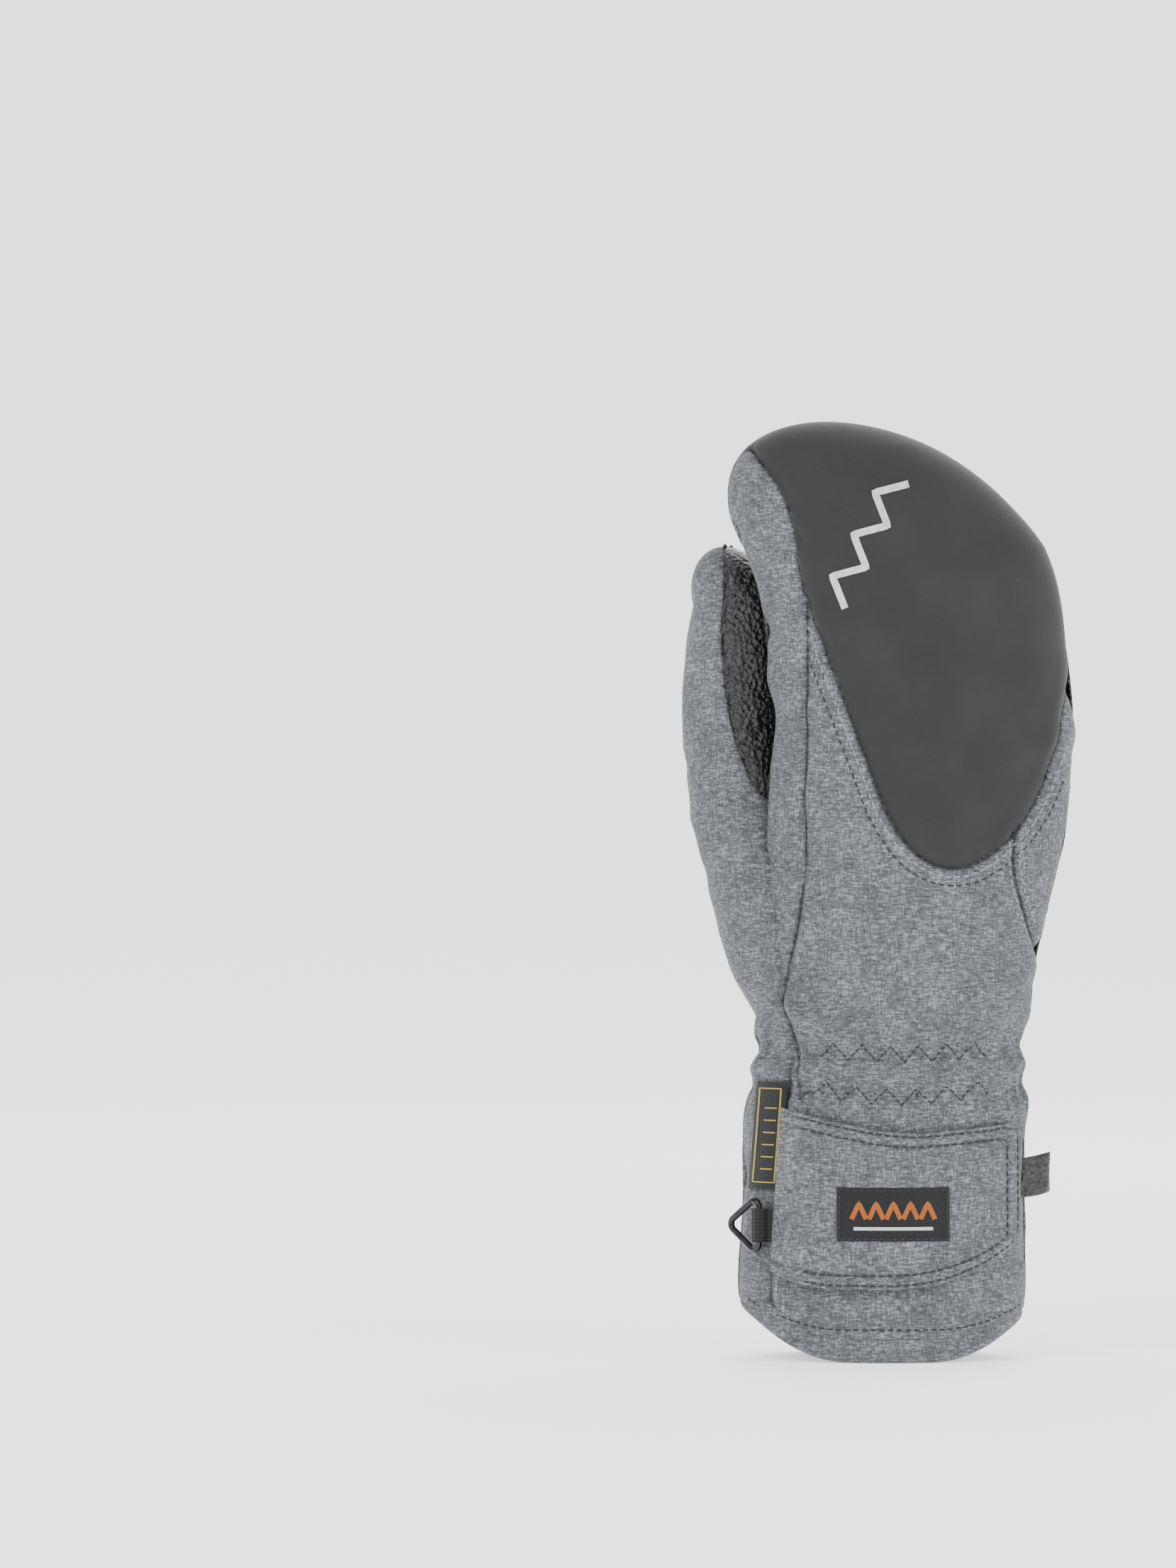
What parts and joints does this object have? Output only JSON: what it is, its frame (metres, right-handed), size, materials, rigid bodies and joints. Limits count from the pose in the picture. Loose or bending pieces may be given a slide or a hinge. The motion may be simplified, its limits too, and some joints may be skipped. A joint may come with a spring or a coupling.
{
  "type": "ski mitten",
  "caption": "Insulated right-hand ski mitten with softshell knuckle panel, leather palm, spreading thumb, wrist strap, pull tab and clip ring.",
  "frame": {"origin": "Centre of the bottom of the mitten's box, where it stands on its hem.", "axes": "+Z from hem to fingertips, -Y out of the back of the hand, +Y out of the palm, -X towards the thumb."},
  "size_m": [0.1308, 0.0772, 0.3098],
  "materials": {
    "black_softshell": "woven stretch softshell, matt",
    "grey_melange": "grey melange stretch fabric",
    "black_leather": "pebbled goatskin, semi matt",
    "insulation": "lofted polyester wadding",
    "membrane": "waterproof film",
    "fleece": "brushed fleece",
    "elastic": "knitted elastic band",
    "hook_and_loop": "hook and loop tape",
    "woven_label": "woven damask label",
    "webbing": "folded webbing",
    "ring_metal": "gunmetal lacquer, glossy",
    "print": "soft raised transfer print"
  },
  "bodies": {
    "mitten": {"back_panel": "grey_melange", "cuff_back": "grey_melange", "cuff_lining": "fleece", "cuff_padding_back": "insulation", "cuff_padding_palm": "insulation", "cuff_palm": "grey_melange", "fingertip_wrap": "grey_melange", "heel_panel": "black_softshell", "hem_band": "grey_melange", "insulation_back": "insulation", "insulation_palm": "insulation", "knuckle_panel": "black_softshell", "lining_back": "fleece", "lining_palm": "fleece", "loop_patch": "hook_and_loop", "membrane_insert": "membrane", "outer_side_panel": "grey_melange", "palm_leather_lower": "black_leather", "palm_leather_upper": "black_leather", "ridge_print": "print", "ring_tape": "webbing", "side_label": "woven_label", "strap_base": "grey_melange", "thumb_base_leather": "black_leather", "thumb_base_panel": "grey_melange", "thumb_side_panel": "grey_melange", "wrist_elastic_lower": "elastic", "wrist_elastic_palm": "elastic", "wrist_elastic_upper": "elastic"},
    "thumb": {"thumb_inner_panel": "black_softshell", "thumb_leather_panel": "black_leather", "thumb_outer_panel": "grey_melange", "thumb_insulation": "insulation", "thumb_membrane": "membrane", "thumb_lining": "fleece"},
    "strap": {"strap_face": "grey_melange", "strap_backing": "hook_and_loop", "hook_patch": "hook_and_loop", "strap_label": "woven_label"},
    "pull_tab": {"pull_tab": "black_leather"},
    "clip_ring": {"clip_ring": "ring_metal"}
  },
  "joints": [
    {"name": "thumb_spread", "type": "hinge", "parent": "mitten", "child": "thumb", "pos_m": [-0.03717, 0.014, 0.16], "axis": [0, -1, 0], "range_deg": [0, 25], "stiffness_Nm_per_rad": 0.08},
    {"name": "strap_open", "type": "hinge", "parent": "mitten", "child": "strap", "pos_m": [-0.02823, -0.03045, 0.05275], "axis": [0, 0, -1], "range_deg": [0, 120]},
    {"name": "tab_lift", "type": "hinge", "parent": "strap", "child": "pull_tab", "pos_m": [0.04659, -0.01761, 0.06], "axis": [0, 0, -1], "range_deg": [0, 100]},
    {"name": "ring_swing", "type": "hinge", "parent": "mitten", "child": "clip_ring", "pos_m": [-0.03898, -0.0212, 0.0446], "axis": [0, 0, 1], "range_deg": [0, 110]}
  ]
}
